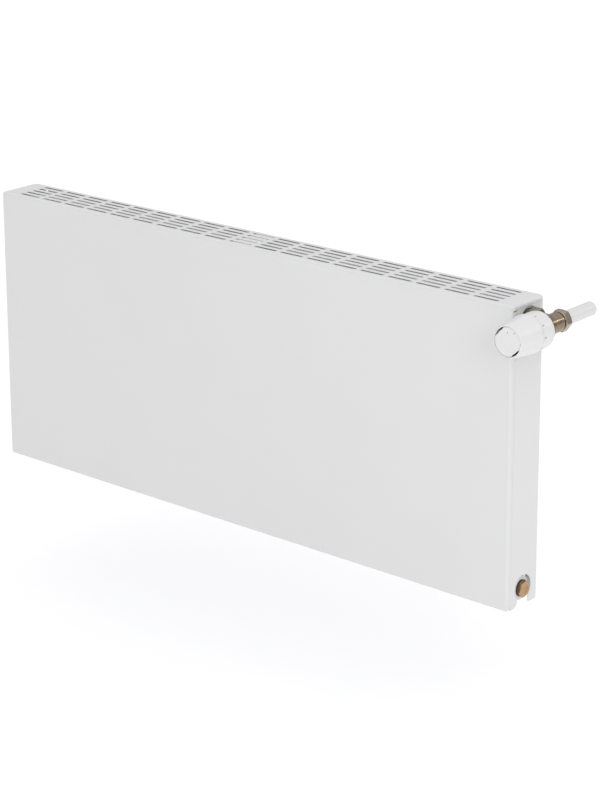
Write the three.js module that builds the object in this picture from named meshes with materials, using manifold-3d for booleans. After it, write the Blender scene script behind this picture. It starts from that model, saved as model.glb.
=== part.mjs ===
// Flat-front panel radiator with a thermostatic valve on its upper right port.
// Millimetres. +X runs along the radiator towards the valve, the front faces -Y, +Z is up.
// The origin is on the centre line, at the bottom edge, in the plane of the hanging lugs' back faces.

import * as THREE from "three";
import { mergeVertices } from "three/addons/utils/BufferGeometryUtils.js";
import Module from "manifold-3d";

const wasm = await Module();
wasm.setup();

// ---------- driving dimensions ----------

const WIDTH = 900;
const HEIGHT = 400;
const CASE_DEPTH = 69; // flat front plate to the back edge of the side covers
const LUG_DEPTH = 6; // how far the hanging lugs stand behind the side covers
const GAP = 0.3; // clearance between pieces that touch

const SHEET = 1.2; // front plate, side covers and water panel walls
const FOLD = 7; // depth of the front plate's folded edges
const CASE_CORNER = 8; // plan radius at the back of the side covers and grille
const COVER_RETURN = 12; // side cover's edge behind the corner

const PORT_INSET = 22; // port axes above the bottom edge and below the top edge
const PORT_DEPTH = 34.5; // port axes behind the front plate
const TEE_RADIUS = 14;
const BOSS_RADIUS = 16; // tee's port boss
const BOSS_LENGTH = 10;
const TEE_FROM_END = 35; // tee's centre line, inward from the radiator's end
const TEE_RECESS = 3; // tee's port face, inward from the radiator's end
const PORT_BORE = 10.3; // radius, clears a half-inch thread
const WATERWAY = 8;

const KEYHOLE_RADIUS = 17;
const KEYHOLE_OFFSET = 1.5; // keyhole's centre, from the port's axis away from the cover's edge
const KEYHOLE_SLOT = 24;

const PANEL_THICKNESS = 12;
const PANEL_BACK_CLEARANCE = 1.5; // rear water panel to the side covers' back edge
const PANEL_END_INSET = 20; // water panel's end, inward from the radiator's end
const PANEL_EDGE_INSET = 8; // water panel's top and bottom edges, inside the casing
const HEADER_HEIGHT = 28;
const CHANNELS = 25;
const CHANNEL_PITCH = 100 / 3;
const CHANNEL_WIDTH = 24;
const CHANNEL_SLOPE = 4;
const CHANNEL_WATER_INSET = 10; // channel water's ends, inside the panel's edges

const FIN_DEPTH = 26;
const FIN_SHEET = 0.6;
const FIN_HEIGHT = 320;
const FIN_WIDTH = 16;

const GRILLE_SHEET = 1;
const GRILLE_FLANGE = 5;
const GRILLE_GROUPS = 19;
const GRILLE_ROWS = 5;
const GRILLE_PITCH_X = 44.7;
const GRILLE_PITCH_Y = 11.8;
const GRILLE_SLOT = [38, 5];
const GRILLE_FIRST_ROW = 11.5; // first row's centre, behind the front plate
const SUPPORT_WIDTH = 30;
const SUPPORT_FOOT = 8;
const SUPPORT_INSET = 1; // support's ends, inside the water panels' faces

const LUG_X = 300;
const LUG_Z = [70, 325];
const LUG_HEIGHT = 60;
const LUG_SHEET = 1.5;
const LUG_BRIDGE = 32;
const LUG_FOOT = 9;

const VALVE_OUT = 35; // valve axis, outward from the radiator's end
const HEAD_FRONT = -61; // head's front face, from the front plate (negative is towards the room)
const HEAD_BACK = 7; // head's back face, from the front plate
const PIPE_RADIUS = 9;
const PIPE_WALL = 1;
const PIPE_END = 117; // pipe's free end, behind the front plate

const ROUND = 24; // sides of the larger turned pieces
const SMALL_ROUND = 14; // sides of the smaller ones

// ---------- places worked out from them ----------

const BACK = -LUG_DEPTH;
const FRONT = BACK - CASE_DEPTH;
const END = WIDTH / 2;
const PORT_Y = FRONT + PORT_DEPTH;
const PORT_Z = { bottom: PORT_INSET, top: HEIGHT - PORT_INSET };
const TEE_X = END - TEE_FROM_END;
const PORT_FACE = END - TEE_RECESS;
const FRONT_PANEL_Y = FRONT + SHEET + GAP;
const REAR_PANEL_Y = BACK - PANEL_BACK_CLEARANCE - PANEL_THICKNESS;
const VALVE_X = END + VALVE_OUT;
const VALVE_Z = PORT_Z.top;

// ---------- colours ----------

function finish(color, roughness, metalness) {
  return new THREE.MeshStandardMaterial({ color, roughness, metalness });
}

const WHITE_PAINT = finish(0xf1f1ee, 0.45, 0);
const WHITE_PLASTIC = finish(0xf3f3f1, 0.35, 0);
const BRASS = finish(0xb08a4e, 0.3, 1);
const NICKEL = finish(0xa59c7c, 0.28, 1);
const STEEL = finish(0x9a9c9e, 0.35, 1);
const RUBBER = finish(0x1d1d1d, 0.8, 0);
const PIPE_PAINT = finish(0xeeeeea, 0.5, 0);
const BLACK_PLASTIC = finish(0x2a2928, 0.5, 0);
const ALUMINIUM = finish(0xb9babb, 0.4, 1);

// ---------- solids ----------

// Closed three.js geometry to a solid at x, y, z, with its faces turned outward.
function solid(geometry, place = [0, 0, 0]) {
  const stripped = geometry.clone();
  stripped.deleteAttribute("normal");
  stripped.deleteAttribute("uv");
  const merged = mergeVertices(stripped, 1e-4);
  merged.translate(...place);
  const position = merged.attributes.position;
  const index = merged.index.array;
  const kept = [];
  let volume = 0;
  const [a, b, c] = [new THREE.Vector3(), new THREE.Vector3(), new THREE.Vector3()];
  for (let i = 0; i < index.length; i += 3) {
    const [p, q, r] = [index[i], index[i + 1], index[i + 2]];
    if (p === q || q === r || r === p) continue;
    kept.push(p, q, r);
    a.fromBufferAttribute(position, p);
    b.fromBufferAttribute(position, q);
    c.fromBufferAttribute(position, r);
    volume += a.dot(b.cross(c));
  }
  if (volume < 0) {
    kept.reverse();
  }
  const mesh = new wasm.Mesh({
    numProp: 3,
    vertProperties: new Float32Array(position.array),
    triVerts: new Uint32Array(kept),
  });
  return new wasm.Manifold(mesh);
}

const join = (...parts) => parts.reduce((whole, part) => whole.add(part));
const cut = (body, ...tools) => tools.reduce((whole, tool) => whole.subtract(tool), body);

function block(low, high) {
  const size = high.map((value, axis) => value - low[axis]);
  const middle = low.map((value, axis) => value + size[axis] / 2);
  return solid(new THREE.BoxGeometry(...size), middle);
}

// Outline in X and Y, raised from one height to another.
function prism(outline, bottom, top, holes = []) {
  const shape = new THREE.Shape(outline);
  shape.holes = holes.map((hole) => new THREE.Path(hole));
  const geometry = new THREE.ExtrudeGeometry(shape, { depth: top - bottom, bevelEnabled: false });
  return solid(geometry, [0, 0, bottom]);
}

// Profile of [radius, distance] steps turned about an axis along Y at x, z.
function turnedY(profile, x, z, sides = ROUND) {
  const points = profile.map(([radius, distance]) => new THREE.Vector2(radius, distance));
  return solid(new THREE.LatheGeometry(points, sides), [x, 0, z]);
}

// The same about an axis along X at y, z.
function turnedX(profile, y, z, sides = ROUND) {
  const points = profile.map(([radius, distance]) => new THREE.Vector2(radius, distance));
  const geometry = new THREE.LatheGeometry(points, sides);
  geometry.rotateZ(-Math.PI / 2);
  return solid(geometry, [0, y, z]);
}

const rod = (radius, start, end) => [[0, start], [radius, start], [radius, end], [0, end]];

function ring(inner, outer, start, end) {
  return [[inner, start], [outer, start], [outer, end], [inner, end], [inner, start]];
}

// Hexagonal bar along an axis, with its corners turned off at both ends.
function hexBar(turn, acrossFlats, start, end, first, second) {
  const corner = acrossFlats / Math.sqrt(3);
  const inset = corner - acrossFlats / 2;
  const rim = acrossFlats / 2;
  const wide = corner + GAP;
  const lens = [[0, start], [rim, start], [wide, start + inset], [wide, end - inset], [rim, end], [0, end]];
  return turn(rod(corner, start, end), first, second, 6).intersect(turn(lens, first, second, ROUND));
}

// Strip of sheet metal: a path in X and Y, thickened evenly to both sides.
function band(path, thickness) {
  const sides = [[], []];
  path.forEach((point, i) => {
    const before = path[Math.max(i - 1, 0)];
    const after = path[Math.min(i + 1, path.length - 1)];
    const steps = [point.clone().sub(before), after.clone().sub(point)];
    const along = steps.filter((step) => step.length() > 0).map((step) => step.normalize());
    const normals = along.map((direction) => new THREE.Vector2(-direction.y, direction.x));
    const sum = normals.reduce((total, normal) => total.add(normal), new THREE.Vector2());
    const mitre = sum.multiplyScalar(along.length / sum.lengthSq());
    sides[0].push(point.clone().addScaledVector(mitre, thickness / 2));
    sides[1].unshift(point.clone().addScaledVector(mitre, -thickness / 2));
  });
  return [...sides[0], ...sides[1]];
}

// Points on a circle from one heading to another, in degrees.
function arc(centreX, centreY, radius, from, to, steps) {
  return Array.from({ length: steps + 1 }, (_, i) => {
    const angle = THREE.MathUtils.degToRad(from + ((to - from) * i) / steps);
    return new THREE.Vector2(centreX + radius * Math.cos(angle), centreY + radius * Math.sin(angle));
  });
}

const mirrored = (body) => solid(geometryOf(body).scale(-1, 1, 1));

function geometryOf(body) {
  const mesh = body.getMesh();
  const geometry = new THREE.BufferGeometry();
  geometry.setAttribute("position", new THREE.BufferAttribute(mesh.vertProperties, mesh.numProp));
  geometry.setIndex(new THREE.BufferAttribute(mesh.triVerts, 1));
  return geometry;
}

const radiator = new THREE.Group();

function add(name, body, material) {
  const geometry = geometryOf(body);
  geometry.computeVertexNormals();
  const mesh = new THREE.Mesh(geometry, material);
  mesh.name = name;
  radiator.add(mesh);
}

// ---------- casing ----------

// Flat front plate with its four edges folded back.
function frontPanel() {
  const tray = block([-END, FRONT, 0], [END, FRONT + FOLD, HEIGHT]);
  const inside = block([-END + SHEET, FRONT + SHEET, SHEET], [END - SHEET, FRONT + FOLD + 1, HEIGHT - SHEET]);
  return cut(tray, inside);
}

// Opening round a port, with a slot out to the cover's edge so the cover slides on.
function keyhole(portZ, edgeZ) {
  const centreZ = portZ + KEYHOLE_OFFSET * Math.sign(portZ - edgeZ);
  const [low, high] = [Math.min(centreZ, edgeZ), Math.max(centreZ, edgeZ)];
  const [inside, outside] = [END - 2 * SHEET, END + SHEET];
  const round = turnedX(rod(KEYHOLE_RADIUS, inside, outside), PORT_Y, centreZ);
  const reach = KEYHOLE_SLOT / 2;
  return join(round, block([inside, PORT_Y - reach, low], [outside, PORT_Y + reach, high]));
}

function sideCover() {
  const half = SHEET / 2;
  const corner = arc(END - CASE_CORNER, BACK - CASE_CORNER, CASE_CORNER - half, 0, 90, 5);
  const path = [
    new THREE.Vector2(END - half, FRONT + FOLD + GAP),
    ...corner,
    new THREE.Vector2(END - CASE_CORNER - COVER_RETURN, BACK - half),
  ];
  const sheet = prism(band(path, SHEET), 0, HEIGHT - GRILLE_FLANGE - GAP);
  return cut(sheet, keyhole(PORT_Z.bottom, -1), keyhole(PORT_Z.top, HEIGHT));
}

// Long slot centred on x, y, its round ends drawn as points.
function grilleSlot(x, y) {
  const [reachX, reachY] = GRILLE_SLOT.map((size) => size / 2);
  const shoulder = reachX - reachY;
  const corners = [
    [reachX, 0], [shoulder, reachY], [-shoulder, reachY],
    [-reachX, 0], [-shoulder, -reachY], [shoulder, -reachY],
  ];
  return corners.map(([dx, dy]) => new THREE.Vector2(x + dx, y + dy));
}

function topGrille() {
  const front = FRONT + FOLD + GAP;
  const leftCorner = arc(-END + CASE_CORNER, BACK - CASE_CORNER, CASE_CORNER, 180, 90, 5);
  const rightCorner = arc(END - CASE_CORNER, BACK - CASE_CORNER, CASE_CORNER, 90, 0, 5);
  const plan = [new THREE.Vector2(-END, front), ...leftCorner, ...rightCorner, new THREE.Vector2(END, front)];
  const slots = [];
  for (let group = 0; group < GRILLE_GROUPS; group += 1) {
    const x = (group - (GRILLE_GROUPS - 1) / 2) * GRILLE_PITCH_X;
    for (let row = 0; row < GRILLE_ROWS; row += 1) {
      slots.push(grilleSlot(x, FRONT + GRILLE_FIRST_ROW + row * GRILLE_PITCH_Y));
    }
  }
  const plate = prism(plan, HEIGHT - GRILLE_SHEET, HEIGHT, slots);
  const half = GRILLE_SHEET / 2;
  const inner = CASE_CORNER - half;
  const rim = [
    new THREE.Vector2(-END + half, front),
    ...arc(-END + CASE_CORNER, BACK - CASE_CORNER, inner, 180, 90, 5),
    ...arc(END - CASE_CORNER, BACK - CASE_CORNER, inner, 90, 0, 5),
    new THREE.Vector2(END - half, front),
  ];
  const flange = prism(band(rim, GRILLE_SHEET), HEIGHT - GRILLE_FLANGE, HEIGHT - half);
  return join(plate, flange);
}

// Bridge across both water panels that carries the middle of the grille.
function grilleSupport() {
  const top = HEIGHT - GRILLE_SHEET - GAP;
  const foot = HEIGHT - PANEL_EDGE_INSET + GAP;
  const [front, back] = [FRONT_PANEL_Y + SUPPORT_INSET, REAR_PANEL_Y + PANEL_THICKNESS - SUPPORT_INSET];
  const half = SUPPORT_WIDTH / 2;
  const bridge = block([-half, front, top - SHEET], [half, back, top]);
  const frontFoot = block([-half, front, foot], [half, front + SUPPORT_FOOT, top]);
  const backFoot = block([-half, back - SUPPORT_FOOT, foot], [half, back, top]);
  return join(bridge, frontFoot, backFoot);
}

// ---------- water side ----------

const channelX = (i) => (i - (CHANNELS - 1) / 2) * CHANNEL_PITCH;

// Plan outline of a pressed panel: flat lands between raised channels, alike on both faces.
function pressedOutline(middleY, halfLength, half, land) {
  const face = (side) => {
    const points = [new THREE.Vector2(-halfLength, middleY + side * land)];
    for (let i = 0; i < CHANNELS; i += 1) {
      const x = channelX(i);
      const foot = CHANNEL_WIDTH / 2;
      const crown = foot - CHANNEL_SLOPE;
      points.push(new THREE.Vector2(x - foot, middleY + side * land));
      points.push(new THREE.Vector2(x - crown, middleY + side * half));
      points.push(new THREE.Vector2(x + crown, middleY + side * half));
      points.push(new THREE.Vector2(x + foot, middleY + side * land));
    }
    points.push(new THREE.Vector2(halfLength, middleY + side * land));
    return points;
  };
  return [...face(-1), ...face(1).reverse()];
}

// Hollow water panel: upright channels between two headers, open at its four tee holes.
function waterPanel(frontY, teeSide) {
  const middle = frontY + PANEL_THICKNESS / 2;
  const half = PANEL_THICKNESS / 2;
  const halfLength = END - PANEL_END_INSET;
  const [bottom, top] = [PANEL_EDGE_INSET, HEIGHT - PANEL_EDGE_INSET];
  const wet = half - SHEET;
  const header = (low, wall, depth) =>
    block(
      [-halfLength + wall, middle - depth, low + wall],
      [halfLength - wall, middle + depth, low + HEADER_HEIGHT - wall],
    );
  const headers = [bottom, top - HEADER_HEIGHT];
  const pressed = prism(pressedOutline(middle, halfLength, half, SHEET), bottom, top);
  const outside = join(pressed, ...headers.map((low) => header(low, 0, half)));
  const voids = headers.map((low) => header(low, SHEET, wet));
  const reach = CHANNEL_WIDTH / 2 - CHANNEL_SLOPE;
  const [waterLow, waterHigh] = [bottom + CHANNEL_WATER_INSET, top - CHANNEL_WATER_INSET];
  for (let i = 0; i < CHANNELS; i += 1) {
    const x = channelX(i);
    voids.push(block([x - reach, middle - wet, waterLow], [x + reach, middle + wet, waterHigh]));
  }
  const past = middle + teeSide * (half + 1);
  const hole = rod(WATERWAY, Math.min(middle, past), Math.max(middle, past));
  for (const x of [-TEE_X, TEE_X]) {
    voids.push(turnedY(hole, x, PORT_Z.bottom, SMALL_ROUND), turnedY(hole, x, PORT_Z.top, SMALL_ROUND));
  }
  return cut(outside, ...voids);
}

// Folded sheet of upright fins on the front water panel's back.
function convectorFins() {
  const near = FRONT_PANEL_Y + PANEL_THICKNESS + GAP + FIN_SHEET / 2;
  const far = near + FIN_DEPTH;
  const path = [];
  for (let i = 0; i < CHANNELS - 1; i += 1) {
    const x = channelX(i) + CHANNEL_PITCH / 2;
    const reach = FIN_WIDTH / 2;
    path.push(new THREE.Vector2(x - reach, near), new THREE.Vector2(x - reach, far));
    path.push(new THREE.Vector2(x + reach, far), new THREE.Vector2(x + reach, near));
  }
  const low = (HEIGHT - FIN_HEIGHT) / 2;
  return prism(band(path, FIN_SHEET), low, low + FIN_HEIGHT);
}

// Tee between the two water panels, with its port facing the right-hand end.
function tee(z) {
  const [near, far] = [FRONT_PANEL_Y + PANEL_THICKNESS + GAP, REAR_PANEL_Y - GAP];
  const body = turnedY(rod(TEE_RADIUS, near, far), TEE_X, z, SMALL_ROUND);
  const neck = turnedX(rod(TEE_RADIUS, TEE_X, PORT_FACE), PORT_Y, z, SMALL_ROUND);
  const boss = turnedX(rod(BOSS_RADIUS, PORT_FACE - BOSS_LENGTH, PORT_FACE), PORT_Y, z);
  const waterway = turnedY(rod(WATERWAY, near - 1, far + 1), TEE_X, z, SMALL_ROUND);
  const port = turnedX(rod(PORT_BORE, TEE_X, PORT_FACE + 1), PORT_Y, z, SMALL_ROUND);
  return cut(join(body, neck, boss), waterway, port);
}

// Hat-shaped strip welded to the back, open above and below for a bracket's hook.
function hangingLug(x, z) {
  const footY = REAR_PANEL_Y + PANEL_THICKNESS + GAP + LUG_SHEET / 2;
  const bridgeY = -LUG_SHEET / 2;
  const reach = LUG_BRIDGE / 2;
  const path = [
    new THREE.Vector2(x - reach - LUG_FOOT, footY),
    new THREE.Vector2(x - reach, footY),
    new THREE.Vector2(x - reach, bridgeY),
    new THREE.Vector2(x + reach, bridgeY),
    new THREE.Vector2(x + reach, footY),
    new THREE.Vector2(x + reach + LUG_FOOT, footY),
  ];
  return prism(band(path, LUG_SHEET), z - LUG_HEIGHT / 2, z + LUG_HEIGHT / 2);
}

// ---------- plugs ----------

const THREAD_RADIUS = PORT_BORE - GAP;
const PLUG_THREAD = 12; // thread's length inside the port
const SEAL_WIDTH = 1.2;
const SEAL_RADIUS = 12;
const PLUG_FLATS = 21;
const PLUG_HEAD = 4.6;
const PLUG_SEAT = PORT_FACE + SEAL_WIDTH + 2 * GAP;
const PLUG_FACE = PLUG_SEAT + PLUG_HEAD;
const VENT_BORE = 2.6;
const VENT_SCREW = 2.2;
const VENT_SCREW_LENGTH = 8; // inside the port's face
const VENT_HEAD = [3.4, 5]; // square head's corner radius, and its length outside the plug

function plug(z) {
  const thread = turnedX(rod(THREAD_RADIUS, PORT_FACE - PLUG_THREAD, PLUG_SEAT + 1), PORT_Y, z, SMALL_ROUND);
  return join(thread, hexBar(turnedX, PLUG_FLATS, PLUG_SEAT, PLUG_FACE, PORT_Y, z));
}

function plugSeal(z) {
  const start = PORT_FACE + GAP;
  return turnedX(ring(THREAD_RADIUS + GAP, SEAL_RADIUS, start, start + SEAL_WIDTH), PORT_Y, z);
}

function ventPlug() {
  const z = PORT_Z.top;
  const bore = rod(VENT_BORE, PORT_FACE - PLUG_THREAD - 1, PLUG_FACE + 1);
  return cut(plug(z), turnedX(bore, PORT_Y, z, SMALL_ROUND));
}

// Square-headed bleed screw in the middle of the vent plug.
function ventScrew() {
  const z = PORT_Z.top;
  const [radius, length] = VENT_HEAD;
  const stem = turnedX(rod(VENT_SCREW, PORT_FACE - VENT_SCREW_LENGTH, PLUG_FACE + 1), PORT_Y, z, SMALL_ROUND);
  return join(stem, turnedX(rod(radius, PLUG_FACE + GAP, PLUG_FACE + length), PORT_Y, z, 4));
}

// ---------- valve ----------

const TAIL_BORE = 6.5;
const TAIL_FLANGE = [12.4, PORT_FACE + 3.2]; // radius and outer face
const TAIL_RADIUS = 9;
const TAIL_COLLAR_RADIUS = 11;
const TAIL_COLLAR = PORT_FACE + 8; // union nut's shoulder on the tailpiece
const UNION_FLATS = 27;
const UNION_START = PORT_FACE + 3.5;
const UNION_END = PORT_FACE + 19.5;
const BODY_THREAD = 12; // radius of the valve's union thread
const BODY_TAIL_FACE = PORT_FACE + 16.5;
const BODY_TAIL_STEP = PORT_FACE + 20.5; // union thread's end
const BODY_TAIL_RADIUS = 10.5;
const BODY_FRONT = FRONT + 9;
const BODY_NECK = 11.2; // radius under the clamp ring
const BODY_RADIUS = 12.6;
const BODY_SHOULDER = PORT_Y + 8.3; // start of the rounded step behind the hub
const BODY_STEP = PORT_Y + 9.5;
const BODY_BACK = FRONT + 53;
const CHAMBER_RADIUS = 9;
const SEAT_BORE = 5.5;
const SEAT_FRONT = PORT_Y + 7;
const SEAT_BACK = PORT_Y + 9.5;
const SOCKET = PIPE_RADIUS + GAP;
const NUT_THREAD = 10.6; // radius of the compression nut's thread on the valve
const NUT_FLATS = 25;
const NUT_START = FRONT + 45.5;
const NUT_END = FRONT + 57;
const OLIVE_LENGTH = 2.1;
const OLIVE_RADIUS = [9.9, 10.5]; // at its ends and at its middle
const PIPE_START = SEAT_BACK + 1;
const CLAMP_WIDTH = 3;
const CLAMP_RADIUS = 20.5;
const LIFT = 1.2; // valve cone's travel each way from the middle setting

const CLAMP_START = FRONT + HEAD_BACK + GAP;
const CLAMP_END = CLAMP_START + CLAMP_WIDTH;

function valveBody() {
  const barrel = [
    [0, BODY_FRONT], [BODY_NECK, BODY_FRONT], [BODY_NECK, CLAMP_END + GAP], [BODY_RADIUS, CLAMP_END + GAP],
    [BODY_RADIUS, BODY_SHOULDER], [NUT_THREAD + 1, BODY_STEP], [NUT_THREAD, BODY_STEP],
    [NUT_THREAD, BODY_BACK], [0, BODY_BACK],
  ];
  const outside = join(
    turnedY(barrel, VALVE_X, VALVE_Z),
    turnedX(rod(BODY_THREAD, BODY_TAIL_FACE, BODY_TAIL_STEP), PORT_Y, VALVE_Z),
    turnedX(rod(BODY_TAIL_RADIUS, BODY_TAIL_FACE + 1, VALVE_X), PORT_Y, VALVE_Z),
  );
  const seatHole = turnedY(rod(SEAT_BORE, SEAT_FRONT - 1, SEAT_BACK + 1), VALVE_X, VALVE_Z, SMALL_ROUND);
  const chamber = turnedY(rod(CHAMBER_RADIUS, BODY_FRONT - 1, SEAT_FRONT), VALVE_X, VALVE_Z, SMALL_ROUND);
  const socket = turnedY(rod(SOCKET, SEAT_BACK, BODY_BACK + 1), VALVE_X, VALVE_Z);
  const outlet = turnedX(rod(TAIL_BORE, BODY_TAIL_FACE - 1, VALVE_X), PORT_Y, VALVE_Z, SMALL_ROUND);
  return cut(outside, seatHole, chamber, socket, outlet);
}

// Threaded tail that stays in the radiator's port.
function tailpiece() {
  const [flangeRadius, flangeFace] = TAIL_FLANGE;
  const [inside, end] = [PORT_FACE - PLUG_THREAD, BODY_TAIL_FACE - GAP];
  const profile = [
    [TAIL_BORE, inside], [THREAD_RADIUS, inside], [THREAD_RADIUS, PORT_FACE + GAP],
    [flangeRadius, PORT_FACE + GAP], [flangeRadius, flangeFace], [TAIL_RADIUS, flangeFace],
    [TAIL_RADIUS, TAIL_COLLAR], [TAIL_COLLAR_RADIUS, TAIL_COLLAR], [TAIL_COLLAR_RADIUS, end],
    [TAIL_BORE, end], [TAIL_BORE, inside],
  ];
  return turnedX(profile, PORT_Y, VALVE_Z);
}

function unionNut() {
  const [narrow, wide] = [TAIL_RADIUS + GAP, BODY_THREAD + GAP];
  const bore = [
    [0, UNION_START - 1], [narrow, UNION_START - 1], [narrow, TAIL_COLLAR - GAP],
    [wide, TAIL_COLLAR - GAP], [wide, UNION_END + 1], [0, UNION_END + 1],
  ];
  const nut = hexBar(turnedX, UNION_FLATS, UNION_START, UNION_END, PORT_Y, VALVE_Z);
  return cut(nut, turnedX(bore, PORT_Y, VALVE_Z));
}

function compressionNut() {
  const thread = NUT_THREAD + GAP;
  const shoulder = BODY_BACK + OLIVE_LENGTH + 2 * GAP;
  const bore = [
    [0, NUT_START - 1], [thread, NUT_START - 1], [thread, shoulder],
    [SOCKET, shoulder], [SOCKET, NUT_END + 1], [0, NUT_END + 1],
  ];
  const nut = hexBar(turnedY, NUT_FLATS, NUT_START, NUT_END, VALVE_X, VALVE_Z);
  return cut(nut, turnedY(bore, VALVE_X, VALVE_Z));
}

function olive() {
  const start = BODY_BACK + GAP;
  const end = start + OLIVE_LENGTH;
  const [low, high] = OLIVE_RADIUS;
  const profile = [
    [SOCKET, start], [low, start], [high, (start + end) / 2], [low, end], [SOCKET, end], [SOCKET, start],
  ];
  return turnedY(profile, VALVE_X, VALVE_Z);
}

function supplyPipe() {
  const wall = ring(PIPE_RADIUS - PIPE_WALL, PIPE_RADIUS, PIPE_START, FRONT + PIPE_END);
  return turnedY(wall, VALVE_X, VALVE_Z);
}

// Ring that clamps the head on the valve's neck.
function clampRing() {
  return turnedY(ring(BODY_NECK + GAP, CLAMP_RADIUS, CLAMP_START, CLAMP_END), VALVE_X, VALVE_Z);
}

// ---------- valve insert ----------

const PIN_RADIUS = 1.5;
const PIN_BORE = PIN_RADIUS + GAP;
const INSERT_RADIUS = 8.7; // inside the valve's chamber
const INSERT_COLLAR = [10.5, 4]; // radius and length in front of the valve
const INSERT_NECK = 6;
const INSERT_BACK = PORT_Y - 12;
const NECK_FRONT = BODY_FRONT - 14;
const GLAND_RADIUS = 4.2;
const GLAND_LENGTH = 4;
const PIN_FRONT = NECK_FRONT - 8;
const CONE_CLEARANCE = 0.5; // seal to seat when the valve is shut
const CONE_BACK = SEAT_FRONT - CONE_CLEARANCE - LIFT;
const CONE_THICKNESS = 3;
const CONE_RADIUS = 7;
const CONE_SEAL_THICKNESS = 1.5;
const CONE_SEAL_RADIUS = 6.6;
const CONE_FRONT = CONE_BACK - CONE_SEAL_THICKNESS - GAP - CONE_THICKNESS;

// Screwed-in guide that carries the pin and closes the valve body's front.
function valveInsert() {
  const [collarRadius, collarLength] = INSERT_COLLAR;
  const [collarFront, collarBack] = [BODY_FRONT - collarLength, BODY_FRONT - GAP];
  const profile = [
    [PIN_BORE, NECK_FRONT], [INSERT_NECK, NECK_FRONT], [INSERT_NECK, collarFront],
    [collarRadius, collarFront], [collarRadius, collarBack], [INSERT_RADIUS, collarBack],
    [INSERT_RADIUS, INSERT_BACK], [PIN_BORE, INSERT_BACK], [PIN_BORE, NECK_FRONT],
  ];
  return turnedY(profile, VALVE_X, VALVE_Z, SMALL_ROUND);
}

// Small turned piece on the valve's axis.
function onAxis(profile) {
  return turnedY(profile, VALVE_X, VALVE_Z, SMALL_ROUND);
}

// Compression spring along Y: a round wire swept round a helix.
function coilSpring(radius, wire, start, end, turns) {
  class Helix extends THREE.Curve {
    getPoint(t, target = new THREE.Vector3()) {
      const angle = t * turns * 2 * Math.PI;
      const y = start + wire + t * (end - start - 2 * wire);
      return target.set(VALVE_X + radius * Math.cos(angle), y, VALVE_Z + radius * Math.sin(angle));
    }
  }
  const section = new THREE.Shape(arc(0, 0, wire, 0, 300, 5));
  return solid(new THREE.ExtrudeGeometry(section, { steps: turns * 9, extrudePath: new Helix() }));
}

// ---------- thermostatic head ----------

const HEAD_START = FRONT + HEAD_FRONT;
const HEAD_STOP = FRONT + HEAD_BACK;
const BASE_RING = 5; // visible length of the fixed ring behind the handwheel
const BASE_RADIUS = 23.3;
const BASE_HUB = 12.5; // radius of the hole round the valve's neck
const BASE_CORE = 16.5; // outer radius of the part inside the handwheel
const WHEEL_BACK = HEAD_STOP - BASE_RING - GAP;
const WHEEL_FRONT_RADIUS = 20.8;
const WHEEL_GRIP_RADIUS = 25; // at the grip's back end
const WHEEL_GRIP_BACK = HEAD_START + 41;
const WHEEL_GROOVE = [23.4, 1.2]; // radius and width of the groove behind the grip
const WHEEL_SCALE_RADIUS = 24.2; // scale ring's front edge
const WHEEL_BACK_RADIUS = 23.6;
const WHEEL_HOLLOW = [21.2, HEAD_START + 26]; // inner radius, and where it starts to narrow
const WHEEL_RIM = 4.5; // straight part of the hole for the cap
const WHEEL_EDGE = [1, 0.6]; // rounding at the front edge, across and along the axis
const CAP_RADIUS = 18.3;
const CAP_THICKNESS = 2.6;
const CAP_RECESS = 0.4;
const CAP_EDGE = [1, 0.4];
const SENSOR_RADIUS = 14;
const SENSOR_FRONT = HEAD_START + 8;
const SENSOR_BACK = SENSOR_FRONT + 24;
const SENSOR_RIBS = 3;
const RIB_DEPTH = 1.5;
const RIB_SLOPE = 0.4;
const WEB_FRONT = PIN_FRONT - 2;
const WEB_BACK = PIN_FRONT + 1;
const PUSH_RADIUS = 3;

function headBase() {
  const hole = PUSH_RADIUS + GAP;
  const ringFront = HEAD_STOP - BASE_RING;
  const profile = [
    [hole, WEB_FRONT], [BASE_CORE, WEB_FRONT], [BASE_CORE, ringFront], [BASE_RADIUS - 0.6, ringFront],
    [BASE_RADIUS, ringFront + 0.8], [BASE_RADIUS - 1, HEAD_STOP - 1], [BASE_RADIUS - 2.3, HEAD_STOP],
    [BASE_HUB, HEAD_STOP], [BASE_HUB, WEB_BACK], [hole, WEB_BACK], [hole, WEB_FRONT],
  ];
  return turnedY(profile, VALVE_X, VALVE_Z);
}

function handwheel() {
  const hole = CAP_RADIUS + GAP;
  const [across, along] = WHEEL_EDGE;
  const [grooveRadius, grooveWidth] = WHEEL_GROOVE;
  const [hollowRadius, hollowFront] = WHEEL_HOLLOW;
  const grooveBack = WHEEL_GRIP_BACK + grooveWidth;
  const profile = [
    [hole, HEAD_START + along], [WHEEL_FRONT_RADIUS - across, HEAD_START],
    [WHEEL_FRONT_RADIUS, HEAD_START + 2 * along], [WHEEL_GRIP_RADIUS, WHEEL_GRIP_BACK],
    [grooveRadius, WHEEL_GRIP_BACK], [grooveRadius, grooveBack], [WHEEL_SCALE_RADIUS, grooveBack],
    [WHEEL_BACK_RADIUS, WHEEL_BACK], [hollowRadius, WHEEL_BACK], [hollowRadius, hollowFront],
    [hole, HEAD_START + WHEEL_RIM], [hole, HEAD_START + along],
  ];
  return turnedY(profile, VALVE_X, VALVE_Z);
}

function frontCap() {
  const face = HEAD_START + CAP_RECESS;
  const [across, along] = CAP_EDGE;
  const profile = [
    [0, face], [CAP_RADIUS - across, face], [CAP_RADIUS, face + along],
    [CAP_RADIUS, face + CAP_THICKNESS], [0, face + CAP_THICKNESS],
  ];
  return turnedY(profile, VALVE_X, VALVE_Z);
}

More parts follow.
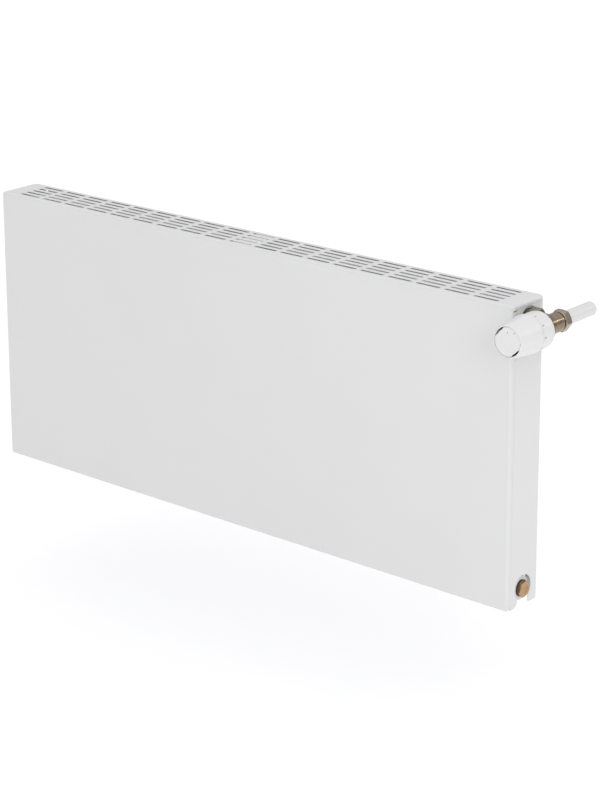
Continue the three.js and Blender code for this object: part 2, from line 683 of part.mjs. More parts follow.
// Liquid-filled capsule with a ribbed wall.
function sensorCapsule() {
  const valley = SENSOR_RADIUS - RIB_DEPTH;
  const pitch = (SENSOR_BACK - SENSOR_FRONT) / SENSOR_RIBS;
  const profile = [[0, SENSOR_FRONT]];
  for (let i = 0; i < SENSOR_RIBS; i += 1) {
    const start = SENSOR_FRONT + i * pitch;
    const end = start + pitch;
    profile.push([SENSOR_RADIUS, start], [SENSOR_RADIUS, end - 4 * RIB_SLOPE]);
    profile.push([valley, end - 3 * RIB_SLOPE], [valley, end - RIB_SLOPE]);
  }
  profile.push([valley, SENSOR_BACK], [0, SENSOR_BACK]);
  return onAxis(profile);
}

// ---------- assembly ----------

const [INSERT_REAR, BASE_WEB] = [INSERT_BACK + GAP, WEB_FRONT - GAP]; // the springs' fixed ends

add("front_panel", frontPanel(), WHITE_PAINT);
add("side_cover_right", sideCover(), WHITE_PAINT);
add("side_cover_left", mirrored(sideCover()), WHITE_PAINT);
add("top_grille", topGrille(), WHITE_PAINT);
add("grille_support", grilleSupport(), WHITE_PLASTIC);
add("front_water_panel", waterPanel(FRONT_PANEL_Y, 1), WHITE_PAINT);
add("rear_water_panel", waterPanel(REAR_PANEL_Y, -1), WHITE_PAINT);
add("convector_fins", convectorFins(), WHITE_PAINT);
for (const [level, z] of Object.entries(PORT_Z)) {
  add(`tee_${level}_right`, tee(z), WHITE_PAINT);
  add(`tee_${level}_left`, mirrored(tee(z)), WHITE_PAINT);
}
for (const [side, x] of [["left", -LUG_X], ["right", LUG_X]]) {
  LUG_Z.forEach((z, i) => add(`hanging_lug_${i ? "upper" : "lower"}_${side}`, hangingLug(x, z), WHITE_PAINT));
}
add("blank_plug", plug(PORT_Z.bottom), BRASS);
add("blank_plug_seal", plugSeal(PORT_Z.bottom), RUBBER);
add("vent_plug", mirrored(ventPlug()), BRASS);
add("vent_plug_seal", mirrored(plugSeal(PORT_Z.top)), RUBBER);
add("vent_screw", mirrored(ventScrew()), BRASS);
add("tailpiece", tailpiece(), NICKEL);
add("union_nut", unionNut(), NICKEL);
add("valve_body", valveBody(), NICKEL);
add("compression_nut", compressionNut(), BRASS);
add("olive", olive(), BRASS);
add("supply_pipe", supplyPipe(), PIPE_PAINT);
add("clamp_ring", clampRing(), BLACK_PLASTIC);
add("valve_insert", valveInsert(), NICKEL);
add("gland_nut", onAxis(ring(PIN_BORE, GLAND_RADIUS, NECK_FRONT - GLAND_LENGTH, NECK_FRONT - GAP)), BRASS);
add("valve_pin", onAxis(rod(PIN_RADIUS, PIN_FRONT, CONE_FRONT - GAP)), STEEL);
add("valve_cone", onAxis(rod(CONE_RADIUS, CONE_FRONT, CONE_FRONT + CONE_THICKNESS)), BRASS);
add("cone_seal", onAxis(rod(CONE_SEAL_RADIUS, CONE_BACK - CONE_SEAL_THICKNESS, CONE_BACK)), RUBBER);
add("valve_spring", coilSpring(5, 0.5, INSERT_REAR, CONE_FRONT - GAP, 3), STEEL);
add("head_base", headBase(), WHITE_PLASTIC);
add("handwheel", handwheel(), WHITE_PLASTIC);
add("front_cap", frontCap(), WHITE_PLASTIC);
add("sensor_capsule", sensorCapsule(), ALUMINIUM);
add("push_pin", onAxis(rod(PUSH_RADIUS, SENSOR_BACK + GAP, PIN_FRONT - GAP)), WHITE_PLASTIC);
add("overtravel_spring", coilSpring(6, 0.6, SENSOR_BACK + GAP, BASE_WEB, 3), STEEL);

export default radiator;
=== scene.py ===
"""A flat-front panel radiator with a thermostatic valve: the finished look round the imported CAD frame.

Every size comes from the frame's boxes or is a named value in metres. +X runs along the radiator to the
valve, the front faces -Y, +Z is up.
"""

import math

import bmesh
import bpy
from mathutils import Matrix, Vector


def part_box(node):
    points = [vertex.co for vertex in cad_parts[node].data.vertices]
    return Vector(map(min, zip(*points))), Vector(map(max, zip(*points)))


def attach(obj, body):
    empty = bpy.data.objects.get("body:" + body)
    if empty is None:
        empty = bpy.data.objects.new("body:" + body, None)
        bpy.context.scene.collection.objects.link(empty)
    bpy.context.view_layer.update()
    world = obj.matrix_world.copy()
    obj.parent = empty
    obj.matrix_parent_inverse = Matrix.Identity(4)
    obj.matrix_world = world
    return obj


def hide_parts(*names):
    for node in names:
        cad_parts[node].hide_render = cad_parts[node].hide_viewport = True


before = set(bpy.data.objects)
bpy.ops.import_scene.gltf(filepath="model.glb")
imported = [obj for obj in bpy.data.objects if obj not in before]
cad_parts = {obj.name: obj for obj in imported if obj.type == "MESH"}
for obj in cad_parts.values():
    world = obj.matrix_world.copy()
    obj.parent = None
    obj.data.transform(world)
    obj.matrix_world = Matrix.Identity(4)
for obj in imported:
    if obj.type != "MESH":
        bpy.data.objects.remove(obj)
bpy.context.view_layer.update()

MM = 0.001

# ---------- places read from the frame ----------


def middle(node):
    """Centre of a node's box."""
    low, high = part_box(node)
    return (low + high) / 2


PLATE_LOW, PLATE_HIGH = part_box("front_panel")
COVER_LOW, COVER_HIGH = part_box("side_cover_right")
GRILLE_LOW, GRILLE_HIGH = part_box("top_grille")
HALF_WIDTH = PLATE_HIGH.x
FRONT = PLATE_LOW.y
BACK = COVER_HIGH.y
PORT_Y = middle("blank_plug").y
PORT_LOW_Z = middle("blank_plug").z
PORT_HIGH_Z = middle("vent_plug").z
VALVE_X = middle("handwheel").x
VALVE_Z = middle("handwheel").z

# ---------- sizes of what is shaped here ----------

# casing
SHEET = 1.2 * MM
PLATE_ROUND = 4 * MM
CASE_CORNER = 8 * MM
KEYHOLE_RADIUS = 17 * MM
KEYHOLE_OFFSET = 1.5 * MM
KEYHOLE_SLOT = 24 * MM
KEYHOLE_LIPS = (9 * MM, 1.5 * MM)
UPPER_HOLE_RADIUS = 16.2 * MM
SLIT_Z = 392.6 * MM
SLIT_HEIGHT = 1.4 * MM
SLIT_START = FRONT + 2 * MM
SLIT_END = FRONT + 9.5 * MM

# grille
GRILLE_SHEET = 0.8 * MM
GRILLE_GROUPS = 19
GRILLE_ROWS = 5
GRILLE_PITCH_X = 44.7 * MM
GRILLE_PITCH_Y = 11.8 * MM
GRILLE_FIRST_ROW = 11.5 * MM
GRILLE_ROLL = 3 * MM
GRILLE_FRONT_ROLL = 0.8 * MM
SLOT_LENGTH = 38 * MM
SLOT_WIDTH = 5 * MM
SLOT_LIP = 0.5 * MM
SLOT_LIP_DEPTH = 0.9 * MM
SKIRT_REACH = 425 * MM
SKIRT_DROP = 9 * MM
SKIRT_SHEET = 0.9 * MM
SKIRT_INSET = 0.2 * MM

# water side
CHANNELS = 25
CHANNEL_PITCH = 100 / 3 * MM
PANEL_COLUMNS = 312
PANEL_LAND = 1.3 * MM
PANEL_RIM = 3 * MM
HEADER = (24 * MM, 29 * MM)
CHANNEL_SLOPE = (7.5 * MM, 12 * MM)
PORT_FACE = HALF_WIDTH - 3 * MM
PORT_BORE = 10.3 * MM
PORT_DEPTH = 30 * MM
BOSS_LENGTH = 10 * MM
TEE_RADIUS = 14 * MM
WATERWAY = 8 * MM
LUG_SHEET = 1.5 * MM
LUG_FOOT = 9 * MM
LUG_BEND = 2.2 * MM
LUG_CORNER = 4 * MM

# plugs, valve and pipe
THREAD_RADIUS = 10 * MM
PLUG_HEAD = 4.6 * MM
PLUG_FLATS = 20 * MM
VENT_BORE = 2.6 * MM
VENT_STEM = 2.2 * MM
VENT_HEAD = 4.7 * MM
TAIL_BORE = 6.5 * MM
UNION_FLATS = 27 * MM
NUT_FLATS = 25 * MM
NUT_TURNED = -5.5
HUB_RADIUS = 12.6 * MM
HUB_THREAD = 10.6 * MM
PIPE_RADIUS = 9 * MM
PIPE_WALL = 1 * MM
GAP = 0.3 * MM

# thermostatic head; angles are degrees from +X towards +Z
FLUTES = 16
FLUTE_DEPTH = 0.3 * MM
WHEEL_FRONT = 20.8 * MM
WHEEL_WALL = 2.4 * MM
GRIP_LENGTH = 41 * MM
GRIP_STEPS = 14
GRIP_BULGE = 0.5 * MM
GROOVE_WIDTH = 1.2 * MM
GROOVE_RADIUS = 23.4 * MM
CAP_RADIUS = 18.3 * MM
CAP_NOTCH = 2 * MM
CAP_NOTCHES = ((137, 58), (312, 50))
SCALE_RADII = (24.2 * MM, 23.6 * MM)
SCALE_FIRST = 106
SCALE_STEP = 36
SCALE_INDEX = 52
SCALE_INK = 0.12 * MM
NUMERAL_SIZE = 4.4 * MM
BASE_RING = 5 * MM

# facets round a full turn
ROUND = 96
TOOL_ROUND = 64
WHEEL_ROUND = 192
CAP_ROUND = 288

# studio, in metres, degrees and watts
FLOOR_Z = -0.15
FLOOR_REACH = 30
FLOOR_GLOW = 0.15
SKY_LOW = (0.12, (0.4, 0.4, 0.398, 1))
SKY_HIGH = (0.75, (0.95, 0.95, 0.975, 1))
SKY_STRENGTH = 1.18
LIGHTS = (
    # name, place, target, side of the square, watts
    ("key", (1.6, -2.8, 1.2), (0.3, 0, 0.3), 0.35, 8),
    ("side", (2.69, -1.96, 1.38), (0.45, -0.069, 0.36), 0.9, 11.5),
    ("rim", (1.55, 1.45, 1.2), (0.485, -0.03, 0.378), 0.2, 1.8),
)
CAMERA_PLACE = (2.0252, -2.3357, 1.2345)
CAMERA_YAW = 40.218
CAMERA_PITCH = 15.28
CAMERA_ROLL = -0.181
CAMERA_LENS = 106.85
CAMERA_SHIFT = -0.2


# ---------- mesh helpers ----------


def link(name, bm):
    """A new object at the origin holding bm."""
    mesh = bpy.data.meshes.new(name)
    bmesh.ops.recalc_face_normals(bm, faces=bm.faces)
    bm.to_mesh(mesh)
    bm.free()
    obj = bpy.data.objects.new(name, mesh)
    bpy.context.scene.collection.objects.link(obj)
    return obj


def block(low, high):
    """Mesh of a box between two corners."""
    bm = bmesh.new()
    bmesh.ops.create_cube(bm, size=1)
    bmesh.ops.scale(bm, vec=Vector(high) - Vector(low), verts=bm.verts)
    bmesh.ops.translate(bm, vec=(Vector(low) + Vector(high)) / 2, verts=bm.verts)
    return bm


def bake(obj):
    """Applies obj's modifiers to its mesh."""
    depsgraph = bpy.context.evaluated_depsgraph_get()
    mesh = bpy.data.meshes.new_from_object(obj.evaluated_get(depsgraph))
    obj.modifiers.clear()
    obj.data = mesh
    return obj


def combine(obj, tool, operation):
    """Joins tool to obj, or cuts it away, and removes tool."""
    modifier = obj.modifiers.new("boolean", "BOOLEAN")
    modifier.operation = operation
    modifier.solver = "EXACT"
    modifier.object = tool
    bake(obj)
    bpy.data.objects.remove(tool)
    return obj


def thicken(obj, thickness):
    """Gives a sheet its thickness, inward from the surface drawn."""
    modifier = obj.modifiers.new("solidify", "SOLIDIFY")
    modifier.thickness = thickness
    modifier.offset = -1
    modifier.use_even_offset = True
    return bake(obj)


def soften(obj, width, segments=3, angle=35):
    """Rounds the edges that turn by more than angle degrees."""
    modifier = obj.modifiers.new("bevel", "BEVEL")
    modifier.width = width
    modifier.segments = segments
    modifier.limit_method = "ANGLE"
    modifier.angle_limit = math.radians(angle)
    return bake(obj)


def cylinder(radius, start, end):
    """Profile of a plain rod, for lathe."""
    return [(0, start, 0), (radius, start, 0), (radius, end, 0), (0, end, 0)]


def rounded(corners, steps=6):
    """Points along a path whose corners (a, b, radius) are turned as arcs."""
    points = []
    for i, (a, b, radius) in enumerate(corners):
        here = Vector((a, b))
        if radius == 0 or i in (0, len(corners) - 1):
            points.append(here)
            continue
        before = (Vector(corners[i - 1][:2]) - here).normalized()
        after = (Vector(corners[i + 1][:2]) - here).normalized()
        half = before.angle(after) / 2
        centre = here + (before + after).normalized() * (radius / math.sin(half))
        start = here + before * (radius / math.tan(half)) - centre
        end = here + after * (radius / math.tan(half)) - centre
        turn = start.angle_signed(end)
        for step in range(steps + 1):
            points.append(centre + Matrix.Rotation(-turn * step / steps, 2) @ start)
    return points


def lathe(name, corners, axis, first, second, segments=ROUND, ripple=None):
    """Profile of (radius, distance, fillet) turned about an axis along X at y, z or along Y at x, z.

    ripple(radius, distance, angle) may give back another radius.
    """
    profile = rounded(corners)
    closed = (profile[0] - profile[-1]).length < 1e-9
    if closed:
        profile = profile[:-1]
    bm = bmesh.new()
    rings = []
    for radius, distance in profile:
        count = 1 if radius < 1e-7 else segments
        ring = []
        for i in range(count):
            angle = 2 * math.pi * i / segments
            reach = ripple(radius, distance, angle) if ripple else radius
            u, v = first + reach * math.cos(angle), second + reach * math.sin(angle)
            ring.append(bm.verts.new((distance, u, v) if axis == "X" else (u, distance, v)))
        rings.append(ring)
    pairs = list(zip(rings, rings[1:] + rings[:1])) if closed else list(zip(rings, rings[1:]))
    for one, two in pairs:
        for i in range(segments):
            j = (i + 1) % segments
            corners_here = [one[i % len(one)], one[j % len(one)], two[j % len(two)], two[i % len(two)]]
            face = list(dict.fromkeys(corners_here))
            if len(face) > 2:
                bm.faces.new(face)
    return link(name, bm)


def hexagon(name, flats, start, end, axis, first, second, chamfer=1.0, turned=0.0):
    """Hexagonal bar whose corners are turned off at both ends; chamfer sets how far."""
    corner = flats / math.sqrt(3)
    bm = bmesh.new()
    rings = []
    for distance in (start, end):
        ring = []
        for i in range(6):
            angle = math.radians(60 * i + turned)
            u, v = first + corner * math.cos(angle), second + corner * math.sin(angle)
            ring.append(bm.verts.new((distance, u, v) if axis == "X" else (u, distance, v)))
        rings.append(ring)
        bm.faces.new(ring)
    for i in range(6):
        bm.faces.new([rings[0][i], rings[0][(i + 1) % 6], rings[1][(i + 1) % 6], rings[1][i]])
    bar = link(name, bm)
    drop = (corner - flats / 2) * 0.62 * chamfer
    rim = flats / 2 - 0.3 * MM
    wide = corner + 0.2 * MM
    lens = [(0, start, 0), (rim, start, 0), (wide, start + drop, 0)]
    lens += [(wide, end - drop, 0), (rim, end, 0), (0, end, 0)]
    return combine(bar, lathe(name + "_lens", lens, axis, first, second, TOOL_ROUND), "INTERSECT")


def drill(obj, profile, axis, first, second):
    """Cuts a turned hole out of obj."""
    return combine(obj, lathe("drill", profile, axis, first, second, TOOL_ROUND), "DIFFERENCE")


def fill(loops, cuts=()):
    """Flat sheet in X and Y inside the first loop and outside the rest, cut across at each x in cuts."""
    bm = bmesh.new()
    edges = []
    for loop in loops:
        verts = [bm.verts.new((x, y, 0)) for x, y in loop]
        edges += [bm.edges.new((a, b)) for a, b in zip(verts, verts[1:] + verts[:1])]
    bmesh.ops.triangle_fill(bm, use_beauty=True, edges=edges)
    for x in cuts:
        geometry = bm.verts[:] + bm.edges[:] + bm.faces[:]
        bmesh.ops.bisect_plane(bm, geom=geometry, plane_co=(x, 0, 0), plane_no=(1, 0, 0))
    return bm


def bend(name, outline, path, thickness):
    """Sheet metal: an outline of (distance along path, z), bent to a path of x and y points."""
    lengths = [0]
    for a, b in zip(path, path[1:]):
        lengths.append(lengths[-1] + (b - a).length)
    bm = fill([outline], lengths[1:-1])
    for vert in bm.verts:
        distance, height = vert.co.x, vert.co.y
        i = max(k for k in range(len(path) - 1) if k == 0 or lengths[k] <= distance + 1e-9)
        share = (distance - lengths[i]) / (lengths[i + 1] - lengths[i])
        place = path[i].lerp(path[i + 1], share)
        vert.co = (place.x, place.y, height)
    return thicken(link(name, bm), thickness)


def path_length(path):
    """Length along a path of points."""
    return sum((b - a).length for a, b in zip(path, path[1:]))


# ---------- procedural materials ----------


def shader(name, colour, roughness, metallic=0.0):
    """New material with its Principled node and an object-space coordinate."""
    material = bpy.data.materials.new(name)
    material.use_nodes = True
    nodes = material.node_tree.nodes
    principled = nodes["Principled BSDF"]
    principled.inputs["Base Color"].default_value = (*colour, 1)
    principled.inputs["Roughness"].default_value = roughness
    principled.inputs["Metallic"].default_value = metallic
    return material, principled, nodes.new("ShaderNodeTexCoord")


def noise(material, coords, scale, detail, stretch=(1, 1, 1)):
    """Noise value in object space, drawn out along the axes by stretch."""
    tree = material.node_tree
    mapping = tree.nodes.new("ShaderNodeMapping")
    mapping.inputs["Scale"].default_value = stretch
    texture = tree.nodes.new("ShaderNodeTexNoise")
    texture.inputs["Scale"].default_value = scale
    texture.inputs["Detail"].default_value = detail
    tree.links.new(coords.outputs["Object"], mapping.inputs["Vector"])
    tree.links.new(mapping.outputs["Vector"], texture.inputs["Vector"])
    return texture.outputs["Fac"]


def spread(material, value, low, high, start=0.3, end=0.7):
    """Maps a noise value to a range."""
    node = material.node_tree.nodes.new("ShaderNodeMapRange")
    node.inputs["From Min"].default_value = start
    node.inputs["From Max"].default_value = end
    node.inputs["To Min"].default_value = low
    node.inputs["To Max"].default_value = high
    material.node_tree.links.new(value, node.inputs["Value"])
    return node.outputs["Result"]


def tint(material, principled, value, first, second):
    """Base colour that runs from first to second with value."""
    node = material.node_tree.nodes.new("ShaderNodeMix")
    node.data_type = "RGBA"
    node.inputs[6].default_value = (*first, 1)
    node.inputs[7].default_value = (*second, 1)
    material.node_tree.links.new(value, node.inputs[0])
    material.node_tree.links.new(node.outputs[2], principled.inputs["Base Color"])


def relief(material, principled, value, strength, depth):
    """Fine surface relief from a noise value."""
    node = material.node_tree.nodes.new("ShaderNodeBump")
    node.inputs["Strength"].default_value = strength
    node.inputs["Distance"].default_value = depth
    material.node_tree.links.new(value, node.inputs["Height"])
    material.node_tree.links.new(node.outputs["Normal"], principled.inputs["Normal"])


def powder_coat(name, colour, roughness):
    """Baked powder paint: a faint orange-peel skin and hardly any colour drift."""
    material, principled, coords = shader(name, colour, roughness)
    drift = noise(material, coords, 9, 2)
    deeper = tuple(channel * 0.985 for channel in colour)
    tint(material, principled, spread(material, drift, 0, 1), colour, deeper)
    skin = noise(material, coords, 620, 2)
    relief(material, principled, skin, 0.12, 0.06 * MM)
    gloss = noise(material, coords, 130, 2)
    material.node_tree.links.new(
        spread(material, gloss, roughness - 0.03, roughness + 0.04), principled.inputs["Roughness"]
    )
    return material


def moulded(name, colour, roughness):
    """Moulded plastic with a fine spark-eroded grain."""
    material, principled, coords = shader(name, colour, roughness)
    principled.inputs["IOR"].default_value = 1.49
    drift = noise(material, coords, 40, 2)
    tint(material, principled, spread(material, drift, 0, 1), colour, tuple(c * 0.975 for c in colour))
    relief(material, principled, noise(material, coords, 1800, 2), 0.1, 0.03 * MM)
    return material


def metal(name, bright, dull, roughness, turning):
    """Machined metal: tarnish in patches and fine tool lines across the turning axis."""
    material, principled, coords = shader(name, bright, roughness, 1.0)
    patches = noise(material, coords, 70, 3)
    tint(material, principled, spread(material, patches, 0, 1, 0.35, 0.72), bright, dull)
    lines = noise(material, coords, 1500, 2, turning)
    relief(material, principled, lines, 0.16, 0.05 * MM)
    material.node_tree.links.new(
        spread(material, patches, roughness, roughness + 0.08), principled.inputs["Roughness"]
    )
    return material


def rubber(name):
    """Black seal rubber, matt and slightly uneven."""
    material, principled, coords = shader(name, (0.018, 0.018, 0.02), 0.75)
    drift = noise(material, coords, 300, 3)
    tint(material, principled, spread(material, drift, 0, 1), (0.015, 0.015, 0.017), (0.03, 0.03, 0.032))
    relief(material, principled, drift, 0.2, 0.05 * MM)
    return material


def printed(name):
    """Dark ink of the scale marks."""
    material, principled, coords = shader(name, (0.06, 0.062, 0.065), 0.5)
    wear = noise(material, coords, 2500, 3)
    tint(material, principled, spread(material, wear, 0, 1), (0.045, 0.047, 0.05), (0.09, 0.092, 0.095))
    return material


ALONG_Y = (0.04, 1, 0.04)
ALONG_X = (1, 0.04, 0.04)
CASING = powder_coat("casing_powder_coat", (0.70, 0.70, 0.694), 0.36)
PANEL = powder_coat("panel_powder_coat", (0.70, 0.70, 0.692), 0.42)
HEAD = moulded("head_plastic", (0.72, 0.72, 0.712), 0.3)
CLIP = moulded("clip_plastic", (0.82, 0.82, 0.815), 0.42)
PIPE = powder_coat("pipe_lacquer", (0.68, 0.68, 0.674), 0.3)
BRASS_X = metal("brass_turned_x", (0.50, 0.32, 0.18), (0.38, 0.24, 0.135), 0.28, ALONG_X)
BRASS_Y = metal("brass_turned_y", (0.60, 0.46, 0.29), (0.50, 0.37, 0.22), 0.22, ALONG_Y)
NUT_METAL = metal("nut_turned_y", (0.37, 0.31, 0.25), (0.28, 0.23, 0.18), 0.2, ALONG_Y)
BRONZE = metal("body_forged", (0.32, 0.25, 0.17), (0.15, 0.11, 0.07), 0.2, ALONG_Y)
NICKEL_X = metal("nickel_turned_x", (0.30, 0.265, 0.195), (0.21, 0.18, 0.125), 0.24, ALONG_X)
NICKEL_Y = metal("nickel_turned_y", (0.46, 0.42, 0.34), (0.38, 0.34, 0.26), 0.24, ALONG_Y)
STEEL = metal("bright_steel", (0.58, 0.58, 0.57), (0.45, 0.45, 0.44), 0.25, ALONG_Y)
# Slightly greyer than the outer paint: partly the primer's own tone, partly painted shade for the fins and
# front water panel inside the casing.
INSIDE_PRIMER_AND_SHADE = powder_coat("primer_and_painted_shade", (0.62, 0.62, 0.63), 0.5)
RUBBER = rubber("seal_rubber")
# Near-black clamp ring: partly the ring's own colour, partly painted shade for the dark gap behind the head.
CLAMP_DARK_AND_SHADE = moulded("clamp_plastic", (0.035, 0.035, 0.036), 0.4)
INK = printed("scale_ink")


# ---------- handing pieces to the frame ----------


def give(obj, material, slot, body, *nodes, sharp=32):
    """Smooth shading, material, and the body and CAD nodes that the piece belongs to."""
    obj.data.materials.clear()
    obj.data.materials.append(material)
    obj.data.polygons.foreach_set("use_smooth", [True] * len(obj.data.polygons))
    obj.data.set_sharp_from_angle(angle=math.radians(sharp))
    modifier = obj.modifiers.new("flat faces stay flat", "WEIGHTED_NORMAL")
    modifier.keep_sharp = True
    modifier.weight = 100
    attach(obj, body)
    if nodes:
        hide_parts(*nodes)
    return obj


def keep(node, material):
    """A CAD node that stays in view, with a better material."""
    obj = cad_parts[node]
    obj.data.materials.clear()
    obj.data.materials.append(material)


# ---------- casing ----------


def front_plate():
    """Flat plate with four folded edges, open at the back."""
    bm = block(PLATE_LOW, PLATE_HIGH)
    back = [face for face in bm.faces if face.normal.y > 0.9]
    bmesh.ops.delete(bm, geom=back, context="FACES_ONLY")
    folds = [edge for edge in bm.edges if not edge.is_boundary]
    bmesh.ops.bevel(bm, geom=folds, offset=PLATE_ROUND, segments=6, profile=0.5, affect="EDGES")
    plate = thicken(link("front_plate", bm), SHEET)
    slit(plate, 1)
    slit(plate, -1)
    give(plate, CASING, "casing_paint", "radiator", "front_panel")


def keyhole(centre):
    """Outline points of the lower port's opening, from its front lip to its back lip."""
    lip_steps, arc_steps = 6, 32
    middle_z = PORT_LOW_Z + KEYHOLE_OFFSET
    half = KEYHOLE_SLOT / 2
    entry = math.sqrt(KEYHOLE_RADIUS**2 - half**2)
    first = math.atan2(-entry, -half)
    sweep = 2 * math.pi - 2 * (math.pi / 2 - math.atan2(entry, half))
    lips = []
    for lip in KEYHOLE_LIPS:
        turn = [math.pi / 2 * i / lip_steps for i in range(lip_steps + 1)]
        lips.append([(half + lip * (1 - math.sin(a)), lip * (1 - math.cos(a))) for a in turn])
    points = [(centre - out, up) for out, up in lips[0]]
    for i in range(arc_steps + 1):
        angle = first - sweep * i / arc_steps
        across, up = KEYHOLE_RADIUS * math.cos(angle), KEYHOLE_RADIUS * math.sin(angle)
        points.append((centre + across, middle_z + up))
    points += [(centre + out, up) for out, up in reversed(lips[1])]
    return points


def slit(obj, side):
    """Cuts the short seam under the top, where the front plate's fold meets the side cover."""
    ends = sorted((side * (HALF_WIDTH - 2 * MM), side * (HALF_WIDTH + MM)))
    low = (ends[0], SLIT_START, SLIT_Z)
    high = (ends[1], SLIT_END, SLIT_Z + SLIT_HEIGHT)
    combine(obj, link("slit", block(low, high)), "DIFFERENCE")


def side_cover(side):
    """End cover: straight side, rounded back corner and a short return, bent from one sheet."""
    node = "side_cover_right" if side > 0 else "side_cover_left"
    path = rounded([(HALF_WIDTH, COVER_LOW.y, 0), (HALF_WIDTH, BACK, CASE_CORNER), (COVER_LOW.x, BACK, 0)], 8)
    length = path_length(path)
    top = COVER_HIGH.z
    outline = [(0, 0)] + keyhole(PORT_Y - COVER_LOW.y) + [(length, 0), (length, top), (0, top)]
    cover = bend(node + "_sheet", outline, path, SHEET)
    if side < 0:
        cover.data.transform(Matrix.Scale(-1, 4, (1, 0, 0)))
        cover.data.flip_normals()
    inside, outside = side * (HALF_WIDTH - 2 * SHEET), side * (HALF_WIDTH + MM)
    drill(cover, cylinder(UPPER_HOLE_RADIUS, inside, outside), "X", PORT_Y, PORT_HIGH_Z)
    slit(cover, side)
    soften(cover, 0.3 * MM, 2, 60)
    give(cover, CASING, "casing_paint", "radiator", node)


def grille_plan(out_x, out_front, out_back):
    """Grille's outline, drawn in from the ends, the front and the back by these amounts."""
    steps = 8
    left, right = GRILLE_LOW.x + out_x, GRILLE_HIGH.x - out_x
    front, back = GRILLE_LOW.y + out_front, GRILLE_HIGH.y - out_back
    radius_x, radius_y = CASE_CORNER - out_x, CASE_CORNER - out_back
    points = [(left, front)]
    for centre, start in ((left + radius_x, math.pi), (right - radius_x, math.pi / 2)):
        for i in range(steps + 1):
            angle = start - math.pi / 2 * i / steps
            y = back - radius_y + radius_y * math.sin(angle)
            points.append((centre + radius_x * math.cos(angle), y))
    points.append((right, front))
    return points


def capsule(x, y, grow):
    """Slot outline with round ends, larger than the finished slot by grow all round."""
    steps = 7
    half_length, half_width = SLOT_LENGTH / 2 + grow, SLOT_WIDTH / 2 + grow
    points = []
    for side, start in ((1, -math.pi / 2), (-1, math.pi / 2)):
        for i in range(steps + 1):
            angle = start + math.pi * i / steps
            centre = x + side * (half_length - half_width)
            points.append((centre + half_width * math.cos(angle), y + half_width * math.sin(angle)))
    return points


def wall(bm, loops):
    """Joins loops of points (x, y, z), one below the other, to the vertices of the first."""
    previous = loops[0]
    for loop in loops[1:]:
        current = [bm.verts.new(point) for point in loop]
        for i in range(len(current)):
            j = (i + 1) % len(current)
            bm.faces.new([previous[i], previous[j], current[j], current[i]])
        previous = current


def slot_centres():
    """Middle of every slot, group by group."""
    centres = []
    for group in range(GRILLE_GROUPS):
        x = (group - (GRILLE_GROUPS - 1) / 2) * GRILLE_PITCH_X
        for row in range(GRILLE_ROWS):
            centres.append((x, FRONT + GRILLE_FIRST_ROW + row * GRILLE_PITCH_Y))
    return centres


def slot_lip(bm, mouth, x, y):
    """Rolls the sheet down round one slot, from the vertices of its mouth."""
    top, steps = GRILLE_HIGH.z, 3
    loops = [mouth]
    for i in range(1, steps + 1):
        angle = math.pi / 2 * i / steps
        drop = SLOT_LIP * (1 - math.cos(angle))
        ring = capsule(x, y, SLOT_LIP * (1 - math.sin(angle)))
        loops.append([(*point, top - drop) for point in ring])
    loops.append([(*point, top - SLOT_LIP_DEPTH) for point in capsule(x, y, 0)])
    wall(bm, loops)


def grille_rim(bm, outline):
    """Rolls the grille's ends and back over, from the vertices of its outline."""
    steps = 5
    loops = [outline]
    for i in range(1, steps + 1):
        angle = math.pi / 2 * i / steps
        share, drop = 1 - math.sin(angle), GRILLE_ROLL * (1 - math.cos(angle))
        ring = grille_plan(GRILLE_ROLL * share, GRILLE_FRONT_ROLL * share, GRILLE_ROLL * share)
        loops.append([(*point, GRILLE_HIGH.z - drop) for point in ring])
    loops.append([(*point, GRILLE_LOW.z) for point in grille_plan(0, 0, 0)])
    wall(bm, loops)


def top_grille():
    """Slotted top with pressed-down slot lips, rolled ends and back, and a skirt behind."""
    slots = slot_centres()
    outer = grille_plan(GRILLE_ROLL, GRILLE_FRONT_ROLL, GRILLE_ROLL)
    mouths = [capsule(x, y, SLOT_LIP) for x, y in slots]
    bm = fill([outer] + mouths)
    for vert in bm.verts:
        vert.co.z = GRILLE_HIGH.z
    drawn = list(bm.verts)
    for index, (x, y) in enumerate(slots):
        start = len(outer) + index * len(mouths[0])
        slot_lip(bm, drawn[start:start + len(mouths[0])], x, y)
    grille_rim(bm, drawn[:len(outer)])
    grille = thicken(link("top_grille_sheet", bm), GRILLE_SHEET)
    skirt_back = GRILLE_HIGH.y - SKIRT_INSET
    skirt_low = (-SKIRT_REACH, skirt_back - SKIRT_SHEET, GRILLE_LOW.z - SKIRT_DROP)
    skirt_high = (SKIRT_REACH, skirt_back, GRILLE_LOW.z + 2 * MM)
    combine(grille, link("skirt", block(skirt_low, skirt_high)), "UNION")
    give(grille, CASING, "casing_paint", "radiator", "top_grille", sharp=38)


def grille_support():
    """Clip under the grille: the CAD shape with its edges eased."""
    low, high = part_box("grille_support")
    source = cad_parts["grille_support"].data.copy()
    obj = bpy.data.objects.new("grille_clip", source)
    bpy.context.scene.collection.objects.link(obj)
    bm = bmesh.new()
    bm.from_mesh(source)
    bmesh.ops.remove_doubles(bm, verts=bm.verts, dist=1e-6)
    bmesh.ops.dissolve_limit(bm, angle_limit=0.01, verts=bm.verts, edges=bm.edges)
    bm.to_mesh(source)
    bm.free()
    soften(obj, min(high.z - low.z, SHEET) * 0.3, 3)
    give(obj, CLIP, "support_plastic", "radiator", "grille_support")


# ---------- water side ----------


def ramp(value, low, high):
    """Smooth step from 0 at low to 1 at high."""
    share = min(max((value - low) / (high - low), 0), 1)
    return share * share * (3 - 2 * share)


